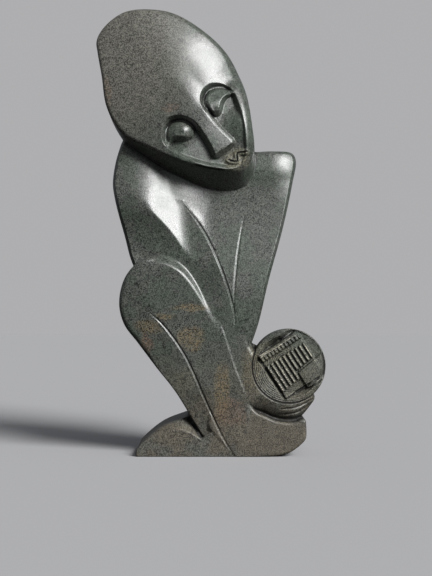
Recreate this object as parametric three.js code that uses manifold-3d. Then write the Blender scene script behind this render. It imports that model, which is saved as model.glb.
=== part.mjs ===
// A kneeling player carved from one block of dark stone: a long tilted face above folded arms,
// one raised knee, and a hand that cups a round gourd with a small key board inside it.
// Millimetres. X runs to the viewer's right, Y away from the viewer, Z up from the underside.

import * as THREE from 'three';
import { mergeVertices } from 'three/addons/utils/BufferGeometryUtils.js';
import Module from 'manifold-3d';

const wasm = await Module();
wasm.setup();

// Driving dimensions
const HEIGHT = 420;
const BACK = 44;
const BASE_FRONT = -40;
const LEG_FRONT = -42;
const TORSO_BACK = 34;
const HEAD_FRONT = -44.5;
const HEAD_BACK = 20;
const HEAD_LEAN = 0.05;
const HEAD_HALF_WIDTH = 62;
const RIGHT_ROLL = 20.5;
const LEFT_ROLL = 5;
const LEFT_ROLL_POWER = 2.2;
const LOW_ROLL_SHARE = 0.6;
const FULL_ROLL_FROM = 60;
const ROLL_FROM = -12;
const CROWN_ROLL_FROM = -3;
const BROW_LOW = 50;
const BROW_HIGH = 76;
const BROW_ROLL = 2.5;
const CHIN_ROLL = 6;
const CHIN_FROM = 10;
const CHIN_END = -18;
const CROWN_ROLL = 12;
const CROWN_FROM = 82;
const CROWN_END = 160;
const CHIN_TOP = 340;
const UNDERCUT = 0.67;
const UNDERCUT_HEIGHT = 65;
const UNDERCUT_DEPTH = 30;
const UNDERCUT_SHIFT = 0.08;
const FACE_TILT = THREE.MathUtils.degToRad(37);
const NOSE_TIP = [15.2, 282.3];
const RECESS_DEPTH = 9;
const CHEEK_SLOPE = [0.24, 0.1];
const CHEEK_FROM = [8, 45];
const GOURD_CENTRE = [72.6, 83.6];
const GOURD_RADIUS = 35;
const GOURD_FRONT = -38;
const HAND_PROUD = 0.8;
const WRIST_SUNK = 1;
const WRIST_UP = [98, 122];
const CHEST_FRONT = -12;
const CHEST_TOP = 262;
const LAP_FRONT = -40.5;
const LAP_TOP = 132;
const CHEST_TURN = 0.006;
const CHEST_TURN_FROM = 5;
const CHEST_TURN_ACROSS = [-52, -18];
const CHEST_TURN_UP = [150, 195];
const FOLD_FRONT = -34.5;
const FOLD_MIDDLE = [-47, 220];
const SHOULDER_SLOPE = [0.375, 0.315];
const SIDE_SLOPE = [-0.16, -0.22];
const UPPER_SIDE_SLOPE = [-0.16, 0.28];
const UPPER_SIDE_FROM = 18;
const LOWER_SIDE_FROM = -12;
const LOWER_SHOULDER_FROM = -60;
const FOREARM_FRONT = -21.3;
const FOREARM_FROM = [-27, 238];
const FOREARM_SLOPE = [-0.1, 0.26];
const SHOULDER_TIP = [49.5, 261];
const TIP_ROLL = 0.011;
const TIP_UP = [238, 284];
const SHIN_SLOPE = [0.096, 0.06];
const SHIN_SLOPE_END = 7.2;
const LEG_LOW = 70;
const LEG_LOW_FADE = 40;
const LEG_LOW_SETBACK = 2.8;
const FOOT_SETBACK = 0.7;
const TOOL_LINE = 1.3;
const LIP_LINE = 1.6;

// Outlines seen from the front, each as [x, z] points along a smooth closed curve
const HEAD_OUTLINE = [
  [-59, 420], [-79, 418], [-93.5, 409.6], [-104, 398], [-107.6, 388.5], [-106.3, 378],
  [-102, 355], [-97.3, 326.6], [-84, 304.8], [-62, 289.7], [-28, 273.7], [0.7, 266.5],
  [18, 265.6], [31, 270.5], [40, 289], [38.8, 310], [32.3, 344], [16.8, 376.8], [-6.8, 399.8],
  [-34.8, 416.2],
];
const TORSO_OUTLINE = [
  [-80, 300], [-87, 286], [-92, 257], [-90, 241], [-81, 206], [-73, 179], [-40, 120], [0, 84],
  [30, 80], [38, 104], [44.5, 123], [54.5, 164], [68.6, 213.6], [78.4, 257], [82, 279],
  [78.4, 286], [60, 287.6], [38, 287], [0, 292], [-45, 304],
];
const LEG_OUTLINE = [
  [-45, 186.6], [-25.4, 178.3], [-10, 161], [6, 132], [21.8, 86.3], [35, 46], [32, 20], [16, 9],
  [-2, 14], [-15, 32], [-33, 61], [-52, 85], [-68, 106], [-80.5, 123], [-85, 143], [-79, 167],
  [-64, 182.5],
];
const FOOT_OUTLINE = [
  [-69, 0.5], [-68.6, 6.5], [-62, 14], [-46, 26.4], [-29, 33.4], [-20, 35.6], [-17, 32],
  [-9, 17.2], [-4, 20], [8, 26], [26, 22], [26, -2], [0, -2], [-30, -2], [-62, -2],
];
const BASE_OUTLINE = [
  [-2, 30], [6, 48], [22, 62], [33, 53], [43.3, 41], [50, 38], [62, 33], [79, 32], [85, 34.4],
  [88.2, 34], [88.9, 30], [88.9, 18], [87.2, 14.4], [72, 3], [50, -0.5], [32, -2], [24, -1],
  [11, 12],
];
const HAND_OUTLINE = [
  [3, 120], [9, 92], [17, 69], [28, 50], [43.3, 40], [58.2, 33.4], [80, 32.6], [93.6, 46],
  [98, 54], [94, 62], [72, 84], [46, 92], [37, 106], [28, 136], [14, 144],
];

// Half of the sunken face, from the nose to the chin, in the face's own frame:
// [across, up], with its origin below the nose and its axis tilted with the head
const NOSE_SIDE = [[12, 0], [7.6, 18], [6.2, 36]];
const CHEEK_EDGE = [
  [6.8, 43], [13, 54], [24, 58], [34, 54], [40, 45], [39.5, 34], [34, 20], [27, 6], [17, -8.6],
  [8, -15.4],
];
const CHIN_EDGE = [0, -17.6];
const EYE_CENTRE = [21, 40];
const EYE_RADIUS = 12.6;
const EYE_HEIGHT = 0.5;
const EYE_TAIL = 6;
const EYE_TAIL_RISE = 2;
const EYE_TAIL_THINNING = 0.4;
const LIPS = [[-3.9, -5.6], [2.6, -12], [7.2, -6.6], [15.4, -11]];

// Lines that the chisel left, each as [x, z] points
const CHEST_LINE = [[-27, 238], [-4.8, 206.9], [12.4, 168], [21.9, 133.7], [23.3, 110.9]];
const SLEEVE_LINE = [[33.5, 236], [25.2, 186.1], [21.9, 143.3]];
const SHIN_LINE = [[-66.2, 141.5], [-43.9, 122.3], [-22.8, 92.6], [-4, 51], [11, 19], [23.5, 1.5]];
const FINGER_LINES = [
  [[62, 44], [80, 46], [97, 54]],
  [[60, 38.5], [80, 41], [95, 49]],
];

// The far ends of the forearm, beyond the chest line, and the edge of the foot's top facet
const ELBOW = [[-60, 90], [-100, 150], [-100, 262]];
const FOOT_EDGE = [
  [-70, 8], [-62.5, 14.7], [-35, 24.5], [-26, 25], [-17.5, 21.8], [-9.5, 16.5], [0, 45], [30, 45],
];
const FOOT_FACET_SLOPE = 1.3;

// The key board, in its own frame: across to the right, and down from its top left corner
const BOARD_CORNER = [43.8, 93.4];
const BOARD_TILT = THREE.MathUtils.degToRad(33);
const BOARD_WIDTH = 44;
const BOARD_LENGTH = 48;
const BOARD_TOP = -39;
const BAND_WIDTH = 8.5;
const KEY_PITCH = 4.4;
const KEY_GAP = 1.2;
const KEY_RISE = 1.5;
const KEY_MIDDLE = 1;
const KEY_THICKNESS = 2.5;
const BAND_THICKNESS = 5;
const KEYS_FROM = 13;
const LONG_KEYS = 5;
const LONG_KEY = 27;
const SHORT_KEYS = 5;
const SHORT_KEY = 18;

// A closed mesh as a solid that can be joined and cut
function solid(geometry) {
  const bare = geometry.index ? geometry.toNonIndexed() : geometry.clone();
  bare.deleteAttribute('normal');
  bare.deleteAttribute('uv');
  const merged = mergeVertices(bare, 1e-4);
  const corners = merged.index.array;
  const kept = [];
  for (let i = 0; i < corners.length; i += 3) {
    const [a, b, c] = corners.slice(i, i + 3);
    if (a !== b && b !== c && c !== a) kept.push(a, b, c);
  }
  return new wasm.Manifold(new wasm.Mesh({
    numProp: 3,
    vertProperties: new Float32Array(merged.getAttribute('position').array),
    triVerts: new Uint32Array(kept),
  }));
}

// Every point of a geometry sent through a function of its place
function moved(geometry, place) {
  const points = geometry.getAttribute('position');
  for (let i = 0; i < points.count; i += 1) {
    points.setXYZ(i, ...place(points.getX(i), points.getY(i), points.getZ(i)));
  }
  return geometry;
}

function smoothCurve(points, closed, steps) {
  const curve = new THREE.CatmullRomCurve3(
    points.map(([x, z]) => new THREE.Vector3(x, 0, z)), closed, 'centripetal');
  return curve.getPoints(steps).map((point) => [point.x, point.z]);
}

// How far a place is from a line of points
function distanceTo(line, x, z) {
  let nearest = Infinity;
  for (let i = 1; i < line.length; i += 1) {
    const [ax, az] = line[i - 1];
    const [dx, dz] = [line[i][0] - ax, line[i][1] - az];
    const along = ((x - ax) * dx + (z - az) * dz) / (dx * dx + dz * dz);
    const t = THREE.MathUtils.clamp(along, 0, 1);
    nearest = Math.min(nearest, Math.hypot(x - ax - t * dx, z - az - t * dz));
  }
  return nearest;
}

// How far the outline lies from the middle in one direction
function reachOf(line, [cx, cz], dx, dz) {
  let reach = 0;
  for (let i = 1; i < line.length; i += 1) {
    const [ax, az] = [line[i - 1][0] - cx, line[i - 1][1] - cz];
    const [ex, ez] = [line[i][0] - cx - ax, line[i][1] - cz - az];
    const cross = dx * ez - dz * ex;
    const along = (ax * ez - az * ex) / cross;
    const t = (ax * dz - az * dx) / cross;
    if (along > 0 && t >= -1e-9 && t <= 1 + 1e-9) reach = Math.max(reach, along);
  }
  return reach;
}

function roundOver(distance, radius) {
  const inside = Math.max(radius - distance, 0);
  return radius - Math.sqrt(radius * radius - inside * inside);
}

// A rounded slab of stone: a ball is pulled sideways to an outline, and its two halves move
// to the front and back surfaces, with both rims rounded over
function slab({
  outline, middle, front, back, frontRim, backRim, around = 44, rings = 13, inset = 0, slant,
}) {
  const line = smoothCurve(outline, true, 160);
  const widest = Math.cos(Math.PI / (2 * rings));
  const surface = (x, z) => front(x, z, distanceTo(line, x, z));
  const geometry = moved(new THREE.SphereGeometry(1, around, rings), (ballX, ballY, ballZ) => {
    const share = Math.hypot(ballX, ballZ) / widest;
    const turn = Math.atan2(ballZ, ballX);
    const edge = reachOf(line, middle, Math.cos(turn), Math.sin(turn)) - inset;
    const reach = edge * Math.min(share, 1);
    const x = middle[0] + reach * Math.cos(turn);
    const z = middle[1] + reach * Math.sin(turn);
    const inside = distanceTo(line, x, z);
    const y = ballY < 0
      ? front(x, z, inside) + roundOver(inside, frontRim)
      : back - roundOver(inside, backRim);
    return slant ? slant(x, y, z) : [x, y, z];
  });
  return { geometry, surface };
}

// All that lies in front of a slanted plane, to be cut away
function inFrontOf(plane) {
  const block = new THREE.BoxGeometry(HEIGHT, HEIGHT, 2 * HEIGHT);
  return solid(moved(block, (x, y, z) => [x, y > 0 ? plane(x, z) : y, z]));
}

// A thin bar along a path on a surface, half sunk in the stone
function toolLine(points, surface, radius = TOOL_LINE) {
  const path = new THREE.CatmullRomCurve3(
    points.map(([x, z]) => new THREE.Vector3(x, surface(x, z), z)), false, 'centripetal');
  const section = new THREE.Shape().absarc(0, 0, radius, 0, 2 * Math.PI);
  return solid(new THREE.ExtrudeGeometry(section, {
    steps: 4 * points.length, curveSegments: 3, bevelEnabled: false, extrudePath: path,
  }));
}

// A straight-sided block over an outline, from the viewer's side back to a depth
function prism(points, from, to) {
  const shape = new THREE.Shape(points.map(([x, z]) => new THREE.Vector2(x, z)));
  const geometry = new THREE.ExtrudeGeometry(shape, { depth: to - from, bevelEnabled: false });
  return solid(geometry.rotateX(Math.PI / 2).translate(0, to, 0));
}

function onFace([across, up]) {
  return [
    NOSE_TIP[0] + across * Math.cos(FACE_TILT) - up * Math.sin(FACE_TILT),
    NOSE_TIP[1] + across * Math.sin(FACE_TILT) + up * Math.cos(FACE_TILT),
  ];
}

function acrossTheFace(x, z) {
  return (x - NOSE_TIP[0]) * Math.cos(FACE_TILT) + (z - NOSE_TIP[1]) * Math.sin(FACE_TILT);
}

function upTheFace(x, z) {
  return (z - NOSE_TIP[1]) * Math.cos(FACE_TILT) - (x - NOSE_TIP[0]) * Math.sin(FACE_TILT);
}

// The plane that the head's front starts from, before its edges are rolled back
function headPlane(x, z) {
  return HEAD_FRONT + HEAD_LEAN * upTheFace(x, z);
}

function headSurface(x, z) {
  const across = acrossTheFace(x, z);
  const up = upTheFace(x, z);
  const aboveBrow = THREE.MathUtils.smoothstep(up, BROW_LOW, BROW_HIGH);
  const rollFrom = THREE.MathUtils.lerp(ROLL_FROM, CROWN_ROLL_FROM, aboveBrow);
  const right = RIGHT_ROLL * (Math.max(across - rollFrom, 0) / HEAD_HALF_WIDTH) ** 2;
  const left = LEFT_ROLL * (Math.max(-across, 0) / HEAD_HALF_WIDTH) ** LEFT_ROLL_POWER;
  const aboveChin = THREE.MathUtils.smoothstep(up, CHIN_FROM, FULL_ROLL_FROM);
  const high = THREE.MathUtils.lerp(LOW_ROLL_SHARE, 1, aboveChin);
  const chin = CHIN_ROLL * (Math.max(CHIN_FROM - up, 0) / (CHIN_FROM - CHIN_END)) ** 2;
  const crown = CROWN_ROLL * (Math.max(up - CROWN_FROM, 0) / (CROWN_END - CROWN_FROM)) ** 2;
  return headPlane(x, z) + (right + left + BROW_ROLL * aboveBrow) * high + chin + crown;
}

// The field round the nose and the eyes is cut back to two planes, because the cheek and the
// eye on the viewer's right turn back with the side of the head
function leftFloor(x, z) {
  return headPlane(x, z) + RECESS_DEPTH;
}

function rightFloor(x, z) {
  return leftFloor(x, z)
    + CHEEK_SLOPE[0] * (acrossTheFace(x, z) - CHEEK_FROM[0])
    + CHEEK_SLOPE[1] * (upTheFace(x, z) - CHEEK_FROM[1]);
}

function faceFloor(x, z) {
  return Math.max(leftFloor(x, z), rightFloor(x, z));
}

// Below the face the head runs back and down, so that the chin stands out over the chest
function undercut(x, y, z) {
  const low = THREE.MathUtils.smoothstep(CHIN_TOP - z, 0, UNDERCUT_HEIGHT);
  const behind = Math.max(y - LAP_FRONT, 0);
  const drop = UNDERCUT * low * Math.min(behind, UNDERCUT_DEPTH);
  return [x + UNDERCUT_SHIFT * low * behind, y, z - drop];
}

function makeHead() {
  const { geometry } = slab({
    outline: HEAD_OUTLINE,
    middle: [-35, 345],
    front: headSurface,
    back: HEAD_BACK,
    frontRim: 4,
    backRim: 14,
    around: 48,
    rings: 15,
    slant: undercut,
  });
  const inFrontOfFloor = inFrontOf(leftFloor).add(inFrontOf(rightFloor));
  const field = prism(faceOutline(), 2 * HEAD_FRONT, 0).intersect(inFrontOfFloor);
  let head = solid(geometry).subtract(field);
  for (const side of [-1, 1]) head = head.add(solid(closedEye(side)));
  return head.add(toolLine(LIPS.map(onFace), faceFloor, LIP_LINE));
}

// A closed eye: a low dome with its outer end drawn out to a point
function closedEye(side) {
  const dome = new THREE.SphereGeometry(EYE_RADIUS, 18, 10);
  const [centreX, centreZ] = onFace([side * EYE_CENTRE[0], EYE_CENTRE[1]]);
  const drawnOut = moved(dome, (x, y, z) => {
    const outward = Math.max((side * x) / EYE_RADIUS, 0) ** 3;
    const height = EYE_HEIGHT * (1 - EYE_TAIL_THINNING * outward);
    return [x + side * EYE_TAIL * outward, y * height, z + EYE_TAIL_RISE * outward];
  });
  const turned = drawnOut.rotateY(-FACE_TILT).translate(centreX, 0, centreZ);
  return moved(turned, (x, y, z) => [x, y + faceFloor(x, z), z]);
}

function faceOutline() {
  const half = [...smoothCurve(NOSE_SIDE, false, 6), ...smoothCurve(CHEEK_EDGE, false, 24)];
  const other = half.map(([across, up]) => [-across, up]).reverse();
  return [...half, CHIN_EDGE, ...other].map(onFace);
}

// The chest lies back under the chin, comes forward towards the hands, and rolls back at the
// far shoulder's tip
function chestSurface(x, z) {
  const { smoothstep } = THREE.MathUtils;
  const [tipX, tipZ] = SHOULDER_TIP;
  const outward = Math.max(x - tipX, 0) ** 2 * smoothstep(z, ...TIP_UP);
  const tip = TIP_ROLL * (outward + Math.max(z - tipZ, 0) ** 2);
  const low = 1 - smoothstep(z, LAP_TOP, CHEST_TOP);
  const leftPart = smoothstep(x, ...CHEST_TURN_ACROSS) * smoothstep(z, ...CHEST_TURN_UP);
  const turn = CHEST_TURN * Math.max(CHEST_TURN_FROM - x, 0) ** 2 * leftPart;
  return CHEST_FRONT + (LAP_FRONT - CHEST_FRONT) * low + tip - turn;
}

// The planes that meet in the long fold from the shoulder to the elbow
function foldPlane([slopeX, slopeZ], from, x, z) {
  return from + slopeX * (x - FOLD_MIDDLE[0]) + slopeZ * (z - FOLD_MIDDLE[1]);
}

function shoulderPlane(x, z) {
  return foldPlane(SHOULDER_SLOPE, FOLD_FRONT, x, z);
}

function lowerShoulderPlane(x, z) {
  const lowest = FOLD_FRONT + SHOULDER_SLOPE[1] * LOWER_SHOULDER_FROM;
  return foldPlane([SHOULDER_SLOPE[0], 0], lowest, x, z);
}

function sidePlane(x, z) {
  return foldPlane(SIDE_SLOPE, FOLD_FRONT, x, z);
}

function upperSidePlane(x, z) {
  const turned = UPPER_SIDE_SLOPE[1] - SIDE_SLOPE[1];
  return foldPlane(UPPER_SIDE_SLOPE, FOLD_FRONT - turned * UPPER_SIDE_FROM, x, z);
}

function lowerSidePlane(x, z) {
  return foldPlane([SIDE_SLOPE[0], 0], FOLD_FRONT + SIDE_SLOPE[1] * LOWER_SIDE_FROM, x, z);
}

// The forearm lies over the chest, from the fold down to the hand
function forearmPlane(x, z) {
  return FOREARM_FRONT
    + FOREARM_SLOPE[0] * (x - FOREARM_FROM[0])
    + FOREARM_SLOPE[1] * (z - FOREARM_FROM[1]);
}

function makeTorso() {
  const shape = {
    outline: TORSO_OUTLINE,
    middle: [-5, 215],
    front: chestSurface,
    back: TORSO_BACK,
    frontRim: 6,
    backRim: 13,
  };
  const chest = solid(slab(shape).geometry);
  const spare = 6;
  const blank = {
    ...shape, front: () => FOLD_FRONT - spare, back: 8, frontRim: 2, backRim: 4, inset: 0.4,
    around: 37, rings: 3,
  };
  const uncut = solid(slab(blank).geometry);
  const armOutline = [...smoothCurve(CHEST_LINE, false, 16), ...ELBOW];
  const forearm = uncut
    .intersect(prism(armOutline, -HEIGHT, HEIGHT))
    .subtract(inFrontOf(forearmPlane));
  const fold = uncut
    .subtract(inFrontOf(shoulderPlane))
    .subtract(inFrontOf(lowerShoulderPlane))
    .add(forearm)
    .subtract(inFrontOf(sidePlane).intersect(inFrontOf(lowerSidePlane)))
    .subtract(inFrontOf(upperSidePlane));
  const surface = (x, z) => Math.min(chestSurface(x, z), shoulderPlane(x, z));
  return chest.add(fold)
    .subtract(toolLine(CHEST_LINE, surface))
    .subtract(toolLine(SLEEVE_LINE, surface));
}

// The leg leans back a little on the shin's outer side, and sinks into the base below
function legSurface(x, z) {
  const [shinX, shinZ] = SHIN_LINE[2];
  const outward = (shinX - x) * SHIN_SLOPE[0] + (shinZ - z) * SHIN_SLOPE[1];
  const low = THREE.MathUtils.smoothstep(LEG_LOW - z, 0, LEG_LOW_FADE);
  return LEG_FRONT + THREE.MathUtils.clamp(outward, 0, SHIN_SLOPE_END) + LEG_LOW_SETBACK * low;
}

function makeLeg() {
  const { geometry } = slab({
    outline: LEG_OUTLINE,
    middle: [-28, 104],
    front: legSurface,
    back: TORSO_BACK + 4,
    frontRim: 6,
    backRim: 12,
  });
  return solid(geometry);
}

// The foot has a worked facet along its top edge. The notch between the foot and the shin ends
// at a thin web of stone, well back from the front.
function footSurface(x, z) {
  const next = FOOT_EDGE.findIndex(([edgeX]) => edgeX > x);
  const [[fromX, fromZ], [toX, toZ]] = [FOOT_EDGE[next - 1], FOOT_EDGE[next]];
  const edge = THREE.MathUtils.mapLinear(x, fromX, toX, fromZ, toZ);
  return BASE_FRONT + FOOT_SETBACK + FOOT_FACET_SLOPE * Math.max(z - edge, 0);
}

function makeFoot() {
  const { geometry } = slab({
    outline: FOOT_OUTLINE,
    middle: [-28, 14],
    front: footSurface,
    back: BACK - 2,
    frontRim: 1.5,
    backRim: 6,
    around: 48,
    rings: 9,
  });
  const [webX, webY] = [-8.5, 12];
  const webHeight = 33;
  const web = new THREE.BoxGeometry(27, 52, webHeight).translate(webX, webY, webHeight / 2);
  return solid(geometry).add(solid(web));
}

function makeBase() {
  const { geometry } = slab({
    outline: BASE_OUTLINE,
    middle: [36, 20],
    front: () => BASE_FRONT,
    back: BACK,
    frontRim: 2.5,
    backRim: 6,
    around: 41,
    rings: 7,
  });
  return solid(geometry);
}

// The gourd is cut off flat in front and sunk inside its rim
function makeGourd() {
  const [x, z] = GOURD_CENTRE;
  const cutDepth = 18;
  const halfDepth = 44;
  const rimWidth = 6;
  const sunkDepth = 9;
  const ball = new THREE.SphereGeometry(GOURD_RADIUS, 32, 14).scale(1, halfDepth / GOURD_RADIUS, 1);
  const face = inFrontOf(() => GOURD_FRONT);
  const inner = GOURD_RADIUS - rimWidth;
  const hollow = new THREE.CylinderGeometry(inner, inner, 2 * sunkDepth, 30);
  return solid(ball.translate(x, GOURD_FRONT + cutDepth, z))
    .subtract(face)
    .subtract(solid(hollow.translate(x, GOURD_FRONT, z)));
}

function onBoard(geometry, across, down, y) {
  const [x, z] = BOARD_CORNER;
  return solid(geometry.translate(across, y, -down).rotateY(-BOARD_TILT).translate(x, 0, z));
}

function makeKeyBoard() {
  const thick = 14;
  const slabMiddle = BOARD_TOP + KEY_RISE + thick / 2;
  const slabOfKeys = new THREE.BoxGeometry(BOARD_WIDTH, thick, BOARD_LENGTH);
  let board = onBoard(slabOfKeys, BOARD_WIDTH / 2, BOARD_LENGTH / 2, slabMiddle);
  const band = new THREE.BoxGeometry(BOARD_WIDTH, BAND_THICKNESS, BAND_WIDTH);
  board = board.add(onBoard(band, BOARD_WIDTH / 2, BAND_WIDTH / 2, BOARD_TOP + KEY_MIDDLE));
  for (let key = 0; key < LONG_KEYS + SHORT_KEYS; key += 1) {
    const length = key < LONG_KEYS ? LONG_KEY : SHORT_KEY;
    const bar = new THREE.BoxGeometry(KEY_PITCH - KEY_GAP, KEY_THICKNESS, length);
    const down = KEYS_FROM + length / 2;
    board = board.add(onBoard(bar, KEY_PITCH * (key + 0.5), down, BOARD_TOP + KEY_MIDDLE));
  }
  const reach = GOURD_RADIUS - 2.2;
  const disc = new THREE.CylinderGeometry(reach, reach, 60, 34);
  return board.intersect(solid(disc.translate(GOURD_CENTRE[0], BOARD_TOP, GOURD_CENTRE[1])));
}

// The hand stands a little proud of the arm, which it joins at the wrist
function handSurface(x, z) {
  const nearWrist = THREE.MathUtils.smoothstep(z, ...WRIST_UP);
  return chestSurface(x, z) + THREE.MathUtils.lerp(-HAND_PROUD, WRIST_SUNK, nearWrist);
}

function makeHand() {
  const { geometry } = slab({
    outline: HAND_OUTLINE,
    middle: [50, 72],
    front: handSurface,
    back: 24,
    frontRim: 6,
    backRim: 10,
    rings: 9,
  });
  const socketRadius = GOURD_RADIUS + 0.3;
  const socket = new THREE.CylinderGeometry(socketRadius, socketRadius, 40, 29);
  let hand = solid(geometry).subtract(
    solid(socket.translate(GOURD_CENTRE[0], GOURD_FRONT, GOURD_CENTRE[1])));
  for (const line of FINGER_LINES) hand = hand.subtract(toolLine(line, handSurface));
  return hand;
}

function carve() {
  const legs = makeLeg().add(makeFoot()).add(makeBase());
  const baseTop = 40;
  const shinSurface = (x, z) => (z > baseTop ? legSurface(x, z) : BASE_FRONT);
  const body = makeTorso().add(legs.subtract(toolLine(SHIN_LINE, shinSurface))).add(makeHand());
  const figure = body.add(makeGourd()).add(makeKeyBoard()).add(makeHead());
  const ground = new THREE.BoxGeometry(HEIGHT, HEIGHT, HEIGHT).translate(0, 0, -HEIGHT / 2);
  return figure.subtract(solid(ground));
}

function toMesh(shape, name, material) {
  const { numProp, vertProperties, triVerts } = shape.getMesh();
  const geometry = new THREE.BufferGeometry();
  geometry.setAttribute('position', new THREE.BufferAttribute(vertProperties, numProp));
  geometry.setIndex(new THREE.BufferAttribute(triVerts, 1));
  geometry.computeVertexNormals();
  const mesh = new THREE.Mesh(geometry, material);
  mesh.name = name;
  return mesh;
}

const stone = new THREE.MeshStandardMaterial({ color: 0x50564f, roughness: 0.32, metalness: 0 });

const group = new THREE.Group();
group.add(toMesh(carve(), 'kneeling_figure', stone));

export default group;
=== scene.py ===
# %% [markdown]
# A kneeling player carved from one block of dark serpentine, polished and waxed: a long tilted
# head with a sunken mask of a face, a forearm folded over the chest, one raised knee, and a
# hand that cups a round gourd with a key board inside it.
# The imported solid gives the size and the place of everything. This lesson carves a finer
# surface over it, gives it a stone finish, and lights it like a small studio piece.

import math
import time

import bmesh
import bpy
import numpy as np
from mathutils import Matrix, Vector


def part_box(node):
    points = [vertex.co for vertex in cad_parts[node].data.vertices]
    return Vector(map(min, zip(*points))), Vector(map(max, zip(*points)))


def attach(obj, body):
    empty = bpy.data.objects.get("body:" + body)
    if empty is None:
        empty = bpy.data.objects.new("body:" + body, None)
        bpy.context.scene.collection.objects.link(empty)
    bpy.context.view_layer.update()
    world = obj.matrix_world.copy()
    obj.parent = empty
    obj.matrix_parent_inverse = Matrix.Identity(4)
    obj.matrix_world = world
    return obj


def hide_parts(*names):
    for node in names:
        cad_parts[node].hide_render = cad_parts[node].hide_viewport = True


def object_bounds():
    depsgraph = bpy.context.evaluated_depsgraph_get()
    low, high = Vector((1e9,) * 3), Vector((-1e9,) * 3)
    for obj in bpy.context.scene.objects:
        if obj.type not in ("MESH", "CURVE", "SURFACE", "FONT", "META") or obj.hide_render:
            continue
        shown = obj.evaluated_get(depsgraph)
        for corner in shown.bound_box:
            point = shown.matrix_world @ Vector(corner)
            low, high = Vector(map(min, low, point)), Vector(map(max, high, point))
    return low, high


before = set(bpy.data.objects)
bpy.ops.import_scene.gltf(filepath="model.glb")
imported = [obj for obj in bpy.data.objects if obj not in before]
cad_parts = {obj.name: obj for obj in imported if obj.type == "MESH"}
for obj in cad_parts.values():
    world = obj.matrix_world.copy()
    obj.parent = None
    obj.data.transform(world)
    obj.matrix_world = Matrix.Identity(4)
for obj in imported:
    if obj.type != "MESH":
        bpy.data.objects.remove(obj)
cad_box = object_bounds()
started = time.time()


def tell(what):
    print(f"{time.time() - started:5.1f} s  {what}")


tell(f"frame box {[round(v, 4) for corner in cad_box for v in corner]}")

# %% [markdown]
# The carver thinks in millimetres, so the forms are written in millimetres too, in the frame
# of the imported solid: X to the viewer's right, Y away from the viewer, Z up from the underside.
# The outer sizes are read from the solid, and only the forms on it are written here.

# %% Sizes
MM = 0.001
block_low, block_high = (np.array(corner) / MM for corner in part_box("kneeling_figure"))
BASE_BACK = block_high[1]
TORSO_BACK = 34
LEG_BACK = 38
HEAD_BACK = 20
block_size = block_high - block_low
tell("the block is {:.1f} mm wide, {:.1f} mm deep and {:.1f} mm high".format(*block_size))

# %% [markdown]
# Each form is seen from the front as one smooth outline. A few points stand at its turns,
# each written as (across, up). A Bezier curve drawn in the editor would do as well, but written
# down they can be read off the real piece and changed one at a time.

# %% Outlines of the forms
HEAD = [
    (-59, 420), (-79, 418), (-93.5, 409.6), (-104, 398), (-107.6, 388.5), (-106.3, 378),
    (-102, 355), (-97.3, 326.6), (-84, 304.8), (-62, 289.7), (-28, 273.7), (0.7, 266.5),
    (18, 265.6), (31, 270.5), (40, 289), (38.8, 310), (32.3, 344), (16.8, 376.8), (-6.8, 399.8),
    (-34.8, 416.2),
]
TORSO = [
    (-80, 300), (-87, 286), (-92, 257), (-90, 241), (-81, 206), (-73, 179), (-40, 120), (0, 84),
    (30, 80), (38, 104), (44.5, 123), (54.5, 164), (68.6, 213.6), (78.4, 257), (82, 279),
    (78.4, 286), (60, 287.6), (38, 287), (0, 292), (-45, 304),
]
LEG = [
    (-45, 186.6), (-25.4, 178.3), (-10, 161), (6, 132), (21.8, 86.3), (35, 46), (32, 20), (16, 9),
    (-2, 14), (-15, 32), (-33, 61), (-52, 85), (-68, 106), (-80.5, 123), (-85, 143), (-79, 167),
    (-64, 182.5),
]
FOOT = [
    (-69, 0.5), (-68.6, 6.5), (-62, 14), (-46, 26.4), (-29, 33.4), (-20, 35.6), (-17, 32),
    (-9, 17.2), (-4, 20), (8, 26), (26, 22), (26, -2), (0, -2), (-30, -2), (-62, -2),
]
BASE = [
    (-2, 30), (6, 48), (22, 62), (33, 53), (43.3, 41), (50, 38), (62, 33), (79, 32), (85, 34.4),
    (88.2, 34), (88.9, 30), (88.9, 18), (87.2, 14.4), (72, 3), (50, -0.5), (32, -2), (24, -1),
    (11, 12),
]
HAND = [
    (3, 120), (9, 92), (17, 69), (28, 50), (43.3, 40), (58.2, 33.4), (80, 32.6), (93.6, 46),
    (98, 54), (94, 62), (72, 84), (46, 92), (37, 106), (28, 136), (14, 144),
]
OUTLINES = (HEAD, TORSO, LEG, FOOT, BASE, HAND)
tell(f"{sum(map(len, OUTLINES))} points draw {len(OUTLINES)} outlines")

# %% [markdown]
# The points are joined by a centripetal Catmull-Rom spline. It passes through every point, and
# it doesn't overshoot where two points lie close together, as an evenly timed one would.


# %% A smooth curve through points
def smooth_curve(points, closed=True, steps=10):
    points = np.array(points, float)
    if closed:
        padded = np.vstack([points[-1:], points, points[:2]])
    else:
        before, after = 2 * points[0] - points[1], 2 * points[-1] - points[-2]
        padded = np.vstack([before, points, after])
    t = np.linspace(0, 1, steps, endpoint=False)[:, None]
    spans = []
    for a, b, c, d in zip(padded, padded[1:], padded[2:], padded[3:]):
        ab, bc, cd = (max(math.dist(p, q) ** 0.5, 1e-6) for p, q in ((a, b), (b, c), (c, d)))
        start = ((b - a) / ab - (c - a) / (ab + bc) + (c - b) / bc) * bc
        end = ((c - b) / bc - (d - b) / (bc + cd) + (d - c) / cd) * bc
        bend = 2 * b - 2 * c + start + end
        lean = -3 * b + 3 * c - 2 * start - end
        spans.append(((bend * t + lean) * t + start) * t + b)
    return np.vstack(spans + ([] if closed else [points[-1:]]))


tell(f"the head's outline has {len(smooth_curve(HEAD))} points once it is smooth")

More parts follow.
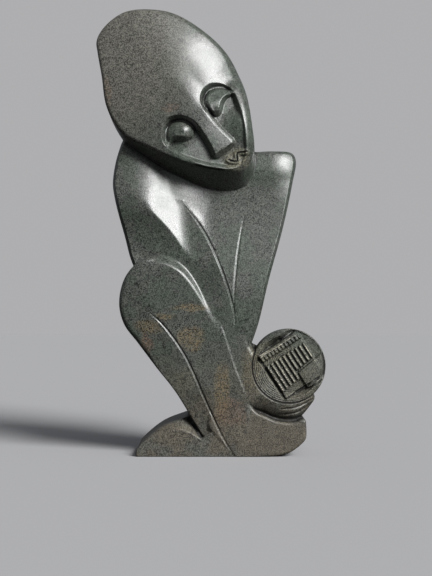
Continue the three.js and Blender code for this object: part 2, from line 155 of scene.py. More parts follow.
# %% [markdown]
# Rounding an edge needs to know how far a place lies inside an outline. Working that out again
# for each of a hundred thousand vertices would be slow, so it is worked out once, on a chart
# with one value a millimetre. A chart is read with a cubic B-spline, which has no corners
# between its values, so the polished stone gets none either.


# %% Distances from a line
def distance_to(line, across, up):
    nearest = np.full(across.shape, np.inf)
    for (ax, az), (bx, bz) in zip(line, line[1:]):
        dx, dz = bx - ax, bz - az
        t = np.clip(((across - ax) * dx + (up - az) * dz) / (dx * dx + dz * dz), 0, 1)
        nearest = np.minimum(nearest, (across - ax - t * dx) ** 2 + (up - az - t * dz) ** 2)
    return np.sqrt(nearest)


def inside_of(line, across, up):
    inside = np.zeros(across.shape, bool)
    for (ax, az), (bx, bz) in zip(line, np.roll(line, -1, 0)):
        crosses = (az > up) != (bz > up)
        if az != bz:
            inside ^= crosses & (across < ax + (up - az) * (bx - ax) / (bz - az))
    return inside


# %% A chart of one smooth value
class Chart:
    """One smooth value over a flat region, kept on a grid."""

    def __init__(self, value, low, high, pitch):
        self.low = np.array(low, float)
        self.pitch = pitch
        self.size = np.ceil((np.array(high) - self.low) / pitch).astype(int) + 1
        self.high = self.low + pitch * (self.size - 1)
        across, up = (self.low[i] + pitch * np.arange(self.size[i]) for i in (0, 1))
        self.values = value(*np.meshgrid(across, up, indexing="ij"))

    def __call__(self, across, up):
        cells, weights = [], []
        for axis, place in enumerate((across, up)):
            at = (place - self.low[axis]) / self.pitch
            cell = np.clip(np.floor(at).astype(int), 1, self.size[axis] - 3)
            t = np.clip(at - cell, 0, 1)
            cells.append(cell)
            weights.append(((1 - t) ** 3 / 6, (3 * t**3 - 6 * t**2 + 4) / 6,
                            (3 * (1 - t) ** 3 - 6 * (1 - t) ** 2 + 4) / 6, t**3 / 6))
        total = 0
        for i in range(4):
            row = 0
            for j in range(4):
                row = row + weights[1][j] * self.values[cells[0] + i - 1, cells[1] + j - 1]
            total = total + weights[0][i] * row
        return total

    def covers(self, x, z, trim=0.0, extra_low=0.0):
        """Which places lie on the chart, or on it less a trimmed edge."""
        low, high = self.low + trim, self.high - trim
        return (x > low[0]) & (x < high[0]) & (z > low[1] - extra_low) & (z < high[1])


# %% The outlines' charts
MARGIN = 12.0


def inside_chart(line, pitch=1.0):
    """How far inside a closed line each place is, below zero outside it."""
    ring = np.vstack([line, line[:1]])

    def value(across, up):
        away = distance_to(ring, across, up)
        return np.where(inside_of(line, across, up), away, -away)

    return Chart(value, line.min(0) - MARGIN, line.max(0) + MARGIN, pitch)


inside_head, inside_torso, inside_leg, inside_foot, inside_base, inside_hand = (
    inside_chart(smooth_curve(points)) for points in OUTLINES)
tell(f"a circle of {2 * inside_torso.values.max():.0f} mm fits inside the torso's outline")

# %% [markdown]
# A carved form is written as one number for any place: below zero in the stone, zero on its
# surface, above zero in the air. The larger of two numbers is where two forms overlap, and the
# smaller is both forms together. Boolean modifiers would join meshes with hard seams, but a
# rounded version of the larger and the smaller gives worked edges and soft inner corners.


# %% Rises, fades and blends
def ramp(value, start, end):
    """Rises smoothly from 0 at the start to 1 at the end."""
    t = np.clip((value - start) / (end - start), 0, 1)
    return t * t * (3 - 2 * t)


def fade(value, start, end):
    return 1 - ramp(value, start, end)


def window(value, rise, fall):
    """One between two bands, rising through the first and falling through the second."""
    return ramp(value, *rise) * fade(value, *fall)


def blend(a, b, share):
    return a + (b - a) * share


tell(f"a tenth of the way up, a smooth rise has reached {ramp(0.1, 0, 1):.3f}")


# %% Joining and rounding
def overlap(a, b, radius):
    """The stone that lies in both forms, with a rounded outer edge."""
    corner = np.hypot(np.maximum(a + radius, 0), np.maximum(b + radius, 0))
    return np.minimum(np.maximum(a, b), -radius) + corner


def together(a, b, radius):
    """The stone of both forms, with a rounded inner corner."""
    corner = np.hypot(np.maximum(radius - a, 0), np.maximum(radius - b, 0))
    return np.maximum(np.minimum(a, b), radius) - corner


def soft_min(a, b, width):
    """The smaller of two heights, with a soft bend where they cross."""
    share = np.clip(0.5 + 0.5 * (b - a) / width, 0, 1)
    return b + (a - b) * share - width * share * (1 - share)


def soft_max(a, b, width):
    return soft_min(a, b, -width)


def slab(y, inside, front, back, front_rim, back_rim):
    """The stone between a front and a back surface, with both rims rounded."""
    return np.maximum(overlap(front - y, -inside, front_rim), overlap(y - back, -inside, back_rim))


tell(f"a 4 mm rounded edge takes {overlap(0.0, 0.0, 4.0):.2f} mm off a sharp corner")

# %% [markdown]
# The chisel lines are shallow V cuts. A line's chart holds how deep the cut is, full along the
# middle and running out to nothing at the ends, as a hand-pushed tool leaves it. Bump mapping
# could fake them, but a real cut catches the light along one wall and shades the other.

# %% Chisel lines
CHEST_LINE = [(-27, 238), (-4.8, 206.9), (12.4, 168), (21.9, 133.7), (23.3, 108)]
SLEEVE_LINE = [(33.5, 236), (25.2, 186.1), (21.9, 143.3), (22.6, 118)]
SHIN_LINE = [(-66.2, 141.5), (-43.9, 122.3), (-22.8, 92.6), (-4, 51), (11, 19), (23.5, -2)]
FINGER_LINES = [[(62, 44), (80, 46), (97, 54)], [(60, 38.5), (80, 41), (95, 49)]]
NARROWEST = 0.4


def chisel_chart(points, depth, width, pitch=0.5, run_out=(0.15, 0.15)):
    line = smooth_curve(points, closed=False)
    reach = np.append(0, np.cumsum(np.hypot(*np.diff(line, axis=0).T)))
    share = reach / reach[-1]
    full = np.minimum(ramp(share, 0, run_out[0]), ramp(1 - share, 0, run_out[1]))

    def value(across, up):
        cut = np.zeros(across.shape)
        for a, b, deep in zip(line, line[1:], (full[1:] + full[:-1]) / 2):
            half = width * blend(NARROWEST, 1, deep)
            share_left = np.maximum(1 - distance_to([a, b], across, up) / half, 0)
            cut = np.maximum(cut, depth * deep * share_left)
        return cut

    edge = width + 3
    return Chart(value, line.min(0) - edge, line.max(0) + edge, pitch)


def cut_at(chart, x, z, beyond=0.0):
    """A chart's value, or a plain one for the places that it doesn't cover."""
    near = chart.covers(x, z)
    depth = np.full(x.shape, beyond)
    depth[near] = chart(x[near], z[near])
    return depth


chest_cut = chisel_chart(CHEST_LINE, 1.3, 1.5, run_out=(0.3, 0.3))
sleeve_cut = chisel_chart(SLEEVE_LINE, 0.8, 1.3, run_out=(0.4, 0.2))
shin_cut = chisel_chart(SHIN_LINE, 1.4, 1.4, run_out=(0.25, 0.01))
finger_cuts = [chisel_chart(line, 1.4, 1.3, run_out=(0.3, 0.05)) for line in FINGER_LINES]
tell(f"{3 + len(finger_cuts)} chisel lines, the shin's {shin_cut.values.max():.1f} mm deep")

# %% [markdown]
# The face is drawn in a frame of its own that leans with the head: across the nose and up the
# nose from its tip. It is a mask: one sunken field round a straight nose, two closed eyes as
# drawn-out domes, and a zigzag mouth of raised bars. In its own frame the mask is almost
# symmetrical, which is far easier to draw than the same lines seen at a slant.

# %% The face's frame
FACE_TILT = math.radians(37)
NOSE_TIP = (15.2, 282.3)


def on_face(x, z):
    """A place in the face's frame: how far across it, and how far up it."""
    dx, dz = x - NOSE_TIP[0], z - NOSE_TIP[1]
    return (dx * math.cos(FACE_TILT) + dz * math.sin(FACE_TILT),
            dz * math.cos(FACE_TILT) - dx * math.sin(FACE_TILT))


tell("the crown is {:.0f} mm across and {:.0f} mm up the face".format(*on_face(*HEAD[0])))

# %% Lines of the face
FACE_EDGE = [
    (9.9, 3.5), (8.8, 10), (7.3, 20), (6.2, 33), (6.2, 42), (8, 51), (12, 57), (18, 60.6),
    (25.5, 61.2), (32, 58.3), (37.5, 52.5), (40.2, 44.5), (38.6, 35.5), (34.5, 24), (28.1, 9.8),
    (21.3, -1.4), (15.9, -9.5), (9.5, -15), (2, -17.2), (-6.5, -14), (-15.1, -6.5), (-22.9, 1.7),
    (-31.4, 15.1), (-38, 28), (-41.4, 36), (-41.2, 44), (-37, 51), (-30.5, 57), (-23.5, 58.4),
    (-15.5, 54.8), (-9.3, 48), (-6.3, 40), (-6, 30), (-7.1, 16.5), (-9.4, 4.9),
]
RIGHT_EYE = [
    (9.4, 43), (10.1, 49.6), (13, 53.3), (20.5, 56.4), (27, 55.4), (33.2, 51.8), (37, 47.2),
    (40, 41), (35, 40.6), (30, 40.5), (26, 38.6), (22, 35.3), (18, 32.4), (14, 32), (10.6, 34.6),
]
LEFT_EYE = [
    (-37.4, 45.6), (-34.7, 49.2), (-30.5, 52), (-24.8, 53.4), (-18.5, 51.8), (-13.4, 47.6),
    (-10.6, 41), (-11, 34.5), (-13.4, 30.2), (-19.5, 29.8), (-24.5, 31), (-29, 34), (-33, 37.4),
    (-40.5, 36.8),
]
LIPS = [(-3.9, -5.6), (2.6, -12.0), (7.2, -6.6), (15.4, -11.0)]
FACE_PITCH = 0.5
LIP_PITCH = 0.35

face_line = smooth_curve(FACE_EDGE, closed=False)
inside_face = inside_chart(face_line, FACE_PITCH)
inside_right_eye, inside_left_eye = (
    inside_chart(smooth_curve(eye), FACE_PITCH) for eye in (RIGHT_EYE, LEFT_EYE))
lip_chart = chisel_chart(LIPS, 2.4, 3.4, LIP_PITCH, (0.1, 0.05))
slit_chart = chisel_chart(LIPS, 3.0, 0.9, LIP_PITCH, (0.1, 0.05))
tell(f"the face's line has {len(face_line)} points, and a circle of "
     f"{2 * inside_right_eye.values.max():.0f} mm fits inside the right eye")

# %% [markdown]
# The front of the head is one broad polished surface. It turns back on the viewer's right and
# towards the crown, and that is what draws the long highlight over the forehead. A sculpting
# brush could push it there by eye. Here each turn is one term of a height, so a change to
# one of them leaves the others as they were.

# %% The plain front of the head
FACE_FRONT = -44.5
CROWN_LEAN = 0.05
HALF_WIDTH = 62
RIGHT_ROLL, LEFT_ROLL, LEFT_ROLL_POWER = 20.5, 5, 2.2
RIGHT_ROLL_FROM, RIGHT_ROLL_FROM_LOW = -3, -12
BROW, BROW_STEP, BROW_STEP_UP = (50, 76), 2.5, (50, 78)
JAW, JAW_SHARE = (10, 60), 0.6
TEMPLE_SLOPE, TEMPLE_FROM, TEMPLE_WIDTH = 0.17, 4, 14
TEMPLE_UP = (42, 54), (60, 106)
TEMPLE_BEND = 3
CHIN_ROLL, CHIN_FROM, CHIN_LENGTH = 6, 10, 28
CROWN_ROLL, CROWN_FROM, CROWN_LENGTH = 12, 82, 78
NOSE_SLOPE, NOSE_LEFT, NOSE_RIGHT = 0.12, -9, (14, 20)
NOSE_UP = (-8, 2), (26, 46)


def head_front(p, q):
    """The height of the head's plain front, where p runs across the face and q up it."""
    roll_from = blend(RIGHT_ROLL_FROM, RIGHT_ROLL_FROM_LOW, fade(q, *BROW))
    right = RIGHT_ROLL * (np.maximum(p - roll_from, 0) / HALF_WIDTH) ** 2
    left = LEFT_ROLL * (np.maximum(-p, 0) / HALF_WIDTH) ** LEFT_ROLL_POWER
    side = right + left + BROW_STEP * ramp(q, *BROW_STEP_UP)
    temple = soft_max(p - TEMPLE_FROM, 0, TEMPLE_BEND)
    temple = soft_min(temple, TEMPLE_WIDTH, TEMPLE_BEND)
    temple = TEMPLE_SLOPE * temple * window(q, *TEMPLE_UP)
    chin = CHIN_ROLL * (np.maximum(CHIN_FROM - q, 0) / CHIN_LENGTH) ** 2
    crown = CROWN_ROLL * (np.maximum(q - CROWN_FROM, 0) / CROWN_LENGTH) ** 2
    nose = NOSE_SLOPE * np.maximum(p - NOSE_LEFT, 0)
    nose = nose * fade(p, *NOSE_RIGHT) * window(q, *NOSE_UP)
    turned = side * blend(JAW_SHARE, 1, ramp(q, *JAW)) + temple + chin + crown + nose
    return FACE_FRONT + CROWN_LEAN * q + turned


tell(f"the temple lies {head_front(40, 70) - head_front(0, 70):.1f} mm behind the brow")

# %% [markdown]
# Each closed eye is a low dome whose outer end is drawn out to a point, with a steep lower
# edge where the two lids meet. A squashed UV sphere gives the dome, but not the point or the
# edge. The smaller of a dome and a wall that rises from the eye's outline gives all three.


# %% The closed eyes
RIGHT_LID = {"middle": (20, 42), "radii": (15, 21, 11, 16), "height": 10.2, "wall": 2.4}
LEFT_LID = {"middle": (-23.4, 40), "radii": (20, 15, 12, 14), "height": 8.8, "wall": 1.6}
LID_EDGE = 0.8


def lid(p, q, inside, middle, radii, height, wall):
    """A dome with radii to the left, the right, below and above, cut off by a steep wall."""
    dp, dq = p - middle[0], q - middle[1]
    left, right, low, high = radii
    reach = (dp / np.where(dp < 0, left, right)) ** 2 + (dq / np.where(dq < 0, low, high)) ** 2
    dome = height * np.maximum(1 - reach, 0)
    return np.maximum(soft_min(dome, wall * inside, LID_EDGE), 0)


def lids(p, q):
    right = lid(p, q, inside_right_eye(p, q), **RIGHT_LID)
    return right + lid(p, q, inside_left_eye(p, q), **LEFT_LID)


tell(f"the right eye's dome stands {lids(np.full(1, 20.0), np.full(1, 42.0))[0]:.1f} mm high")


# %% The sunken face
FACE_SUNK = 9.0
SHALLOWEST = 2.0
WALL_SLOPE = 1.7
WALL_FOOT, FLOOR_BEND = 0.8, 1.5
NOSE_BEVEL, NOSE_BEVEL_SLOPE, NOSE_WALL_SLOPE = 2.6, 0.42, 3.0
NOSE_SIDE_ACROSS, NOSE_SIDE_UP = ((3, 6), (13, 18)), ((2, 6), (39, 47))
CHEEK_FROM = 8
RIGHT_CHEEK, RIGHT_CHEEK_LOW, RIGHT_CHEEK_UP = 0.24, -0.1, (14, 32)
LEFT_CHEEK, LEFT_CHEEK_UP = 0.2, (24, 38)
EYE_SOCKET, SOCKET_ACROSS, SOCKET_UP = 1.6, (2, 16), (28, 46)
LIP_HEIGHT = 1.5
LIDS_AT_MOST = 0.97


def face_wall(p, q, deep):
    """The height of the wall round the field, with a worked bevel on the nose's lit side."""
    nose_right = window(p, *NOSE_SIDE_ACROSS) * window(q, *NOSE_SIDE_UP)
    bevel = NOSE_BEVEL_SLOPE * deep + NOSE_WALL_SLOPE * np.maximum(deep - NOSE_BEVEL, 0)
    return np.maximum(blend(WALL_SLOPE * deep, bevel, nose_right), 0)


def cheeks(p, q):
    """How far the field turns back on either side of the nose."""
    slope = blend(RIGHT_CHEEK, RIGHT_CHEEK_LOW, fade(q, *RIGHT_CHEEK_UP))
    right = slope * np.maximum(p - CHEEK_FROM, 0)
    left = LEFT_CHEEK * np.minimum(p + CHEEK_FROM, 0) * fade(q, *LEFT_CHEEK_UP)
    return right + left + EYE_SOCKET * ramp(p, *SOCKET_ACROSS) * ramp(q, *SOCKET_UP)


def face_relief(p, q):
    """How far the sunken face lies behind the plain front."""
    deep = inside_face(p, q)
    flat = FACE_FRONT + CROWN_LEAN * q + FACE_SUNK + cheeks(p, q)
    floor = soft_max(flat - head_front(p, q), SHALLOWEST, FLOOR_BEND)
    floor = soft_min(face_wall(p, q, deep), floor, WALL_FOOT)
    lips = LIP_HEIGHT * np.sqrt(cut_at(lip_chart, p, q)) - cut_at(slit_chart, p, q)
    return np.where(deep > 0, floor - np.minimum(lids(p, q), floor * LIDS_AT_MOST), 0) - lips


RELIEF_LOW, RELIEF_HIGH, RELIEF_PITCH = (-50, -26), (50, 72), 0.6
relief_chart = Chart(face_relief, RELIEF_LOW, RELIEF_HIGH, RELIEF_PITCH)
tell(f"the face is sunk {relief_chart.values.max():.1f} mm at most")

# %% [markdown]
# Below the face the head runs back and down, so that the chin stands out over the chest and
# throws the dark shadow under it. A Lattice could shear a mesh like that. Here the outline moves
# down with depth, because a place further back reads the outline's chart a little higher up.

# %% The head as one form
UNDERCUT = 0.67
UNDERCUT_FROM = -38
UNDERCUT_UP = (275, 340)
UNDERCUT_DEPTH = 30
UNDERCUT_SHIFT = 0.08
HEAD_RIM, RIGHT_RIM, RIGHT_RIM_ACROSS = 3, 5, (-8, 14)
CROWN_RIM_SHARE, CROWN_RIM_UP = 0.4, (55, 85)
HEAD_BACK_RIM = 14


def head(x, y, z):
    behind = np.maximum(y - UNDERCUT_FROM, 0)
    dropped = z
    for _ in range(2):
        low = fade(dropped, *UNDERCUT_UP)
        dropped = z + UNDERCUT * low * np.minimum(behind, UNDERCUT_DEPTH)
    inside = inside_head(x - UNDERCUT_SHIFT * low * behind, dropped)
    p, q = on_face(x, z)
    front = head_front(p, q) + cut_at(relief_chart, p, q)
    right = ramp(p, *RIGHT_RIM_ACROSS) * blend(1, CROWN_RIM_SHARE, ramp(q, *CROWN_RIM_UP))
    return slab(y, inside, front, HEAD_BACK, HEAD_RIM + RIGHT_RIM * right, HEAD_BACK_RIM)


tell(f"the jaw drops {UNDERCUT * UNDERCUT_DEPTH:.0f} mm on its way back")

# %% [markdown]
# The torso is a flat slab of stone whose front is cut to a few planes. The chest comes forward
# towards the hands, and the shoulder and the arm's side meet in one long fold. The forearm lies
# over the chest, with a steep step beside the first chisel line, taken down in passes of one
# millimetre. Planes with a soft smaller and larger between them keep the fold crisp low down
# and let it wear away near the neck.

# %% The chest
CHEST_FRONT = -12
LAP_FRONT = -40.5
LAP_UP = (132, 262)
SHOULDER_TIP = (56, 262.5)
TIP_ROLL, TIP_UP = 0.011, (225, 275)
CHEST_TURN, CHEST_TURN_FROM = 0.006, 5
CHEST_TURN_ACROSS, CHEST_TURN_UP = (-52, -18), (150, 195)


def chest_front(x, z):
    tip_x, tip_z = SHOULDER_TIP
    outward = np.maximum(x - tip_x, 0) ** 2 * ramp(z, *TIP_UP)
    tip = TIP_ROLL * (outward + np.maximum(z - tip_z, 0) ** 2)
    lap = (LAP_FRONT - CHEST_FRONT) * fade(z, *LAP_UP)
    turn = CHEST_TURN * np.maximum(CHEST_TURN_FROM - x, 0) ** 2
    turn = turn * ramp(x, *CHEST_TURN_ACROSS) * ramp(z, *CHEST_TURN_UP)
    return CHEST_FRONT + lap + tip - turn


# %% The shoulder, the forearm and the arm's side
FOLD_MIDDLE, FOLD_FRONT = (-47, 220), -34.5
SHOULDER_SLOPE, SHOULDER_LOW = (0.375, 0.315), -60
SIDE_SLOPE, SIDE_LOW = (-0.16, -0.22), -12
SIDE_TURN, SIDE_TURN_FROM = 0.5, 18
FOREARM_FRONT, FOREARM_FROM, FOREARM_SLOPE = -21.3, (-27, 238), (-0.1, 0.26)
FOREARM_FOREMOST = -41
STEP_SLOPE, STEP_FROM = 5, 0.3
FOLD_SOFTNESS, FOLD_WORN_UP = (0.8, 9.8), (222, 262)
CREASE_SOFTNESS, CREASE_WORN_UP = (1.5, 7.5), (222, 250)
SHOULDER_BEND, FOREARM_BEND, STEP_BEND, SIDE_BEND, SIDE_TURN_BEND = 8, 4, 3.5, 12, 7
ELBOW = [(-60, 90), (-100, 150), (-100, 262)]
inside_arm = inside_chart(np.vstack([smooth_curve(CHEST_LINE, closed=False), ELBOW]))


def torso_front(x, z):
    fx, fz = x - FOLD_MIDDLE[0], z - FOLD_MIDDLE[1]
    shoulder = FOLD_FRONT + SHOULDER_SLOPE[0] * fx
    shoulder = shoulder + SHOULDER_SLOPE[1] * soft_max(fz, SHOULDER_LOW, SHOULDER_BEND)
    forearm = FOREARM_FRONT + FOREARM_SLOPE[0] * (x - FOREARM_FROM[0])
    forearm = forearm + FOREARM_SLOPE[1] * (z - FOREARM_FROM[1])
    forearm = soft_max(forearm, FOREARM_FOREMOST, FOREARM_BEND)
    passes = np.trunc(cut_at(inside_arm, x, z, -MARGIN))
    step = STEP_SLOPE * np.maximum(-STEP_FROM - passes, 0)
    arm = soft_min(shoulder, forearm + step, STEP_BEND)
    side = FOLD_FRONT + SIDE_SLOPE[0] * fx + SIDE_SLOPE[1] * soft_max(fz, SIDE_LOW, SIDE_BEND)
    side = side + soft_max(SIDE_TURN * (fz - SIDE_TURN_FROM), 0, SIDE_TURN_BEND)
    fold = soft_max(arm, side, blend(*FOLD_SOFTNESS, ramp(z, *FOLD_WORN_UP)))
    crease = blend(*CREASE_SOFTNESS, ramp(z, *CREASE_WORN_UP))
    return soft_min(fold, chest_front(x, z), crease)


# %% The torso as one form
TORSO_BEVEL = (3.0, 1.6, 0.3)
TORSO_RIM, TORSO_BACK_RIM = 2, 13


def bevelled(inside, width, slope, softness):
    """How far a worked edge lies behind the surface that it runs along."""
    return soft_max(slope * (width - inside), 0, softness)


def torso(x, y, z):
    inside = inside_torso(x, z)
    front = torso_front(x, z) + bevelled(inside, *TORSO_BEVEL)
    front = front + cut_at(chest_cut, x, z) + cut_at(sleeve_cut, x, z)
    return slab(y, inside, front, TORSO_BACK, TORSO_RIM, TORSO_BACK_RIM)


tell(f"the chest lies {chest_front(20.0, 250.0) - LAP_FRONT:.0f} mm behind the lap")

# %% [markdown]
# The raised leg is a broad polished slab with a worked bevel along its knee, and its shin leans
# back a little on the outer side. The foot has one facet along its top edge. The dark notch
# between the foot and the shin ends at a thin web of stone, well back from the front.

# %% The leg
LEG_FRONT = -42
SHIN_SLOPE, SHIN_SLOPE_END = (0.8, 0.5), 60
SHIN_LEAN = 0.12
LEG_LOW, LEG_LOW_SETBACK = (30, 70), 2.8
KNEE_BEVEL = (6.8, 1.1, 2.4)
KNEE_ACROSS, KNEE_UP = (-62, -44), (112, 150)
LEG_RIM, SHIN_RIM, LEG_BACK_RIM = 1.2, 4.7, 12


def leg_front(x, z):
    (shin_x, shin_z), (across, up) = SHIN_LINE[2], SHIN_SLOPE
    outward = np.clip((shin_x - x) * across + (shin_z - z) * up, 0, SHIN_SLOPE_END)
    return LEG_FRONT + SHIN_LEAN * outward + LEG_LOW_SETBACK * fade(z, *LEG_LOW)


def leg(x, y, z):
    inside = inside_leg(x, z)
    worked = ramp(z, *KNEE_UP) * ramp(x, *KNEE_ACROSS)
    front = leg_front(x, z) + cut_at(shin_cut, x, z) + worked * bevelled(inside, *KNEE_BEVEL)
    rim = blend(LEG_RIM, SHIN_RIM, fade(x, *KNEE_ACROSS))
    return slab(y, inside, front, LEG_BACK, rim, LEG_BACK_RIM)


# %% The foot and the base
BASE_FRONT = -40
FOOT_EDGE = [(-67, 8), (-62.5, 14.7), (-35, 24.5), (-26, 25), (-17.5, 21.8), (-9.5, 16.5), (0, 16)]
FOOT_SETBACK, FOOT_FACET_SLOPE, FOOT_FACET_BEND = 0.7, 1.3, 0.8
FACET_END, FACET_CLEAR = (-8, 4), 40
FOOT_RIM, BASE_RIM, LOW_BACK_RIM, FOOT_SHORT = 1.5, 2.5, 6, 2
WEB_LEFT, WEB_RIGHT, WEB_TOP, WEB_FRONT = -22, 5, 33, -14


def foot(x, y, z):
    edge = np.interp(x, *np.transpose(FOOT_EDGE)) + FACET_CLEAR * ramp(x, *FACET_END)
    facet = soft_max(FOOT_FACET_SLOPE * (z - edge), 0, FOOT_FACET_BEND)
    front = BASE_FRONT + FOOT_SETBACK + facet
    sole = slab(y, inside_foot(x, z), front, BASE_BACK - FOOT_SHORT, FOOT_RIM, LOW_BACK_RIM)
    web = [WEB_FRONT - y, y - LEG_BACK, z - WEB_TOP, WEB_LEFT - x, x - WEB_RIGHT]
    return np.minimum(sole, np.max(web, axis=0))


def base(x, y, z):
    front = BASE_FRONT + cut_at(shin_cut, x, z)
    return slab(y, inside_base(x, z), front, BASE_BACK, BASE_RIM, LOW_BACK_RIM)


tell(f"the notch at the foot is {WEB_FRONT - BASE_FRONT} mm deep")

# %% [markdown]
# The gourd is a ball cut off flat in front and hollowed inside its rim. A slanted board with
# two rows of keys lies in the hollow, and the hand closes round it from the left and below.
# The keys could be a row of bevelled cubes. Here one chart holds the relief of the whole board,
# with a groove between each key and the next, as shallow and uneven as the chisel leaves it.

# %% The hand
GOURD = (72.6, 83.6)
GOURD_RADIUS = 35
GOURD_FRONT = -38
HAND_BACK = 24
HAND_PROUD, WRIST_SUNK, WRIST = 0.8, 1.0, (98, 122)
PALM_RIM, HEEL_RIM, HAND_BACK_RIM = 6, 20, 10
HEEL_ACROSS, HEEL_UP = (30, 50), (54, 72)
SOCKET_OVERLAP, SOCKET_BACK, SOCKET_EDGE = 0.4, -18, 0.8


def hand(x, y, z):
    front = chest_front(x, z) + blend(-HAND_PROUD, WRIST_SUNK, ramp(z, *WRIST))
    for cut in finger_cuts:
        front = front + cut_at(cut, x, z)
    rim = blend(PALM_RIM, HEEL_RIM, fade(z, *HEEL_UP) * ramp(x, *HEEL_ACROSS))
    solid = slab(y, inside_hand(x, z), front, HAND_BACK, rim, HAND_BACK_RIM)
    socket = np.hypot(x - GOURD[0], z - GOURD[1]) - GOURD_RADIUS + SOCKET_OVERLAP
    return overlap(solid, -np.maximum(socket, y - SOCKET_BACK), SOCKET_EDGE)


tell(f"the hand stands {HAND_PROUD} mm proud of the arm")


# %% The key board's frame
BOARD_CORNER = (43.8, 93.4)
BOARD_TILT = math.radians(33)
BOARD_WIDTH, BOARD_LENGTH = 44, 48
BAND = 8.5
KEY_PITCH = 4.4
KEYS_FROM = 0.4
KEYS_TOP = 12.5
LIP = 1.7
PAD_LEFT = 22.6


def on_board(x, z):
    """A place in the board's frame: across it, and down it from its top left corner."""
    dx, dz = x - BOARD_CORNER[0], z - BOARD_CORNER[1]
    return (dx * math.cos(BOARD_TILT) + dz * math.sin(BOARD_TILT),
            dx * math.sin(BOARD_TILT) - dz * math.cos(BOARD_TILT))


def plateau(a, low, high, slope=2.5):
    """How far inside a strip, as a height that rises steeply from both edges."""
    return slope * np.minimum(a - low, high - a)


tell("the gourd's middle: {:.1f} mm across, {:.1f} mm down the board".format(*on_board(*GOURD)))

# %% The keys
LONG_ROW = (KEYS_FROM, 22.4, 42)
SHORT_ROW = (22.4, 43.0, 34.5)
KEY_HEIGHT, GROOVE_DEPTH, GROOVE_WIDTH = 2.6, 2.0, (0.25, 0.95)
KEY_SLOPE, END_SLANT = 3, 0.12
NOTCH_DEPTH, NOTCH_PITCH, NOTCH_TOP = 1.1, 3.7, (3.0, 3.8)
LIP_GROOVE_DEPTH, LIP_GROOVE_HALF = 1.2, 0.8


def keys(a, b):
    """Two rows of ridges, each as (left, right, lower end), with a groove between the keys."""
    height = np.zeros(a.shape)
    groove = np.abs((a - KEYS_FROM) % KEY_PITCH - KEY_PITCH / 2) / (KEY_PITCH / 2)
    ridge = KEY_HEIGHT - GROOVE_DEPTH * ramp(groove, *GROOVE_WIDTH)
    for left, right, end in (LONG_ROW, SHORT_ROW):
        row = plateau(b, KEYS_TOP, end - END_SLANT * a, KEY_SLOPE)
        row = np.minimum(row, plateau(a, left, right, KEY_SLOPE))
        height = np.maximum(height, np.clip(row, 0, ridge))
    return height


def band_cuts(a, b):
    """The fine notches under the board's top band, and the groove along its lip."""
    comb = np.clip(2 * np.cos(a * 2 * math.pi / NOTCH_PITCH), 0, 1)
    groove = np.clip(1 - np.abs(b - LIP) / LIP_GROOVE_HALF, 0, 1)
    return NOTCH_DEPTH * comb * ramp(b, *NOTCH_TOP) + LIP_GROOVE_DEPTH * groove


tell(f"{(SHORT_ROW[1] - LONG_ROW[0]) / KEY_PITCH:.1f} keys side by side")


# %% The key board
PLATE_HEIGHT, BAND_HEIGHT, PAD_HEIGHT, BAND_FLAT = 3.4, 3, 2.4, 0.8
PAD_TOP, PAD_SLANT, PAD_OVERHANG = 35.4, 0.1, (9, 3)
BOARD_REACH, BOARD_PITCH = 38, 0.4


def board_height(x, z):
    """The key board's relief above the bottom of the gourd's hollow."""
    a, b = on_board(x, z)
    plate = np.minimum(plateau(a, 0, BOARD_WIDTH), plateau(b, 0, BOARD_LENGTH))
    band = np.minimum(plateau(a, 0, BOARD_WIDTH), plateau(b, 0, BAND))
    pad = plateau(b, PAD_TOP - PAD_SLANT * a, BOARD_LENGTH + PAD_OVERHANG[1])
    pad = np.minimum(pad, plateau(a, PAD_LEFT, BOARD_WIDTH + PAD_OVERHANG[0]))
    height = np.clip(plate, 0, PLATE_HEIGHT) + np.clip(band, 0, BAND_HEIGHT)
    height = height - np.where(band > BAND_FLAT, band_cuts(a, b), 0)
    return height + np.maximum(keys(a, b), np.clip(pad, 0, PAD_HEIGHT))


gourd_middle = np.array(GOURD)
board_chart = Chart(
    board_height, gourd_middle - BOARD_REACH, gourd_middle + BOARD_REACH, BOARD_PITCH)
tell(f"the keys stand {board_chart.values.max():.1f} mm above the hollow's floor")

# %% The gourd
SWELL_FRONT, SWELL_BACK, WIDEST_AT = 34, 53, 9
RIM, RIM_RIGHT, RIM_ACROSS = 5, -4, (27, 43)
HOLLOW, HOLLOW_SLOPE = 9, 1.6
HOLLOW_LEFT, HOLLOW_LEFT_SLOPE = 2.4, 2.5
BOARD_RAISE, BOARD_EDGE = 2, 2
BOARD_INSET, BOARD_SLOPE, BOARD_HIGHEST = 1.2, 1.8, 10
LINE_PITCH, LINE_DEPTH, LEAST_RIM = 1.7, 0.35, 4
RIM_EDGE = 0.8


def gourd(x, y, z):
    out = np.hypot(x - GOURD[0], z - GOURD[1])
    behind = y - GOURD_FRONT - WIDEST_AT
    swell = np.where(behind < 0, SWELL_FRONT, SWELL_BACK)
    ball = (np.hypot(out / GOURD_RADIUS, behind / swell) - 1) * GOURD_RADIUS
    a, _ = on_board(x, z)
    rim = blend(RIM, RIM_RIGHT, ramp(a, *RIM_ACROSS))
    hollow = HOLLOW_SLOPE * (GOURD_RADIUS - rim - out)
    hollow = np.minimum(hollow, HOLLOW_LEFT_SLOPE * (a + HOLLOW_LEFT))
    wave = np.sin((out - GOURD_RADIUS) * 2 * math.pi / LINE_PITCH)
    lines = LINE_DEPTH * np.clip(wave, 0, 1) * (rim > LEAST_RIM)
    relief = cut_at(board_chart, x, z)
    room = np.clip(BOARD_SLOPE * (GOURD_RADIUS - BOARD_INSET - out), 0, BOARD_HIGHEST)
    board = np.minimum(relief + BOARD_RAISE * ramp(relief, 0, BOARD_EDGE), room)
    front = GOURD_FRONT + np.clip(hollow, 0, HOLLOW) + lines - board
    return overlap(ball, front - y, RIM_EDGE)


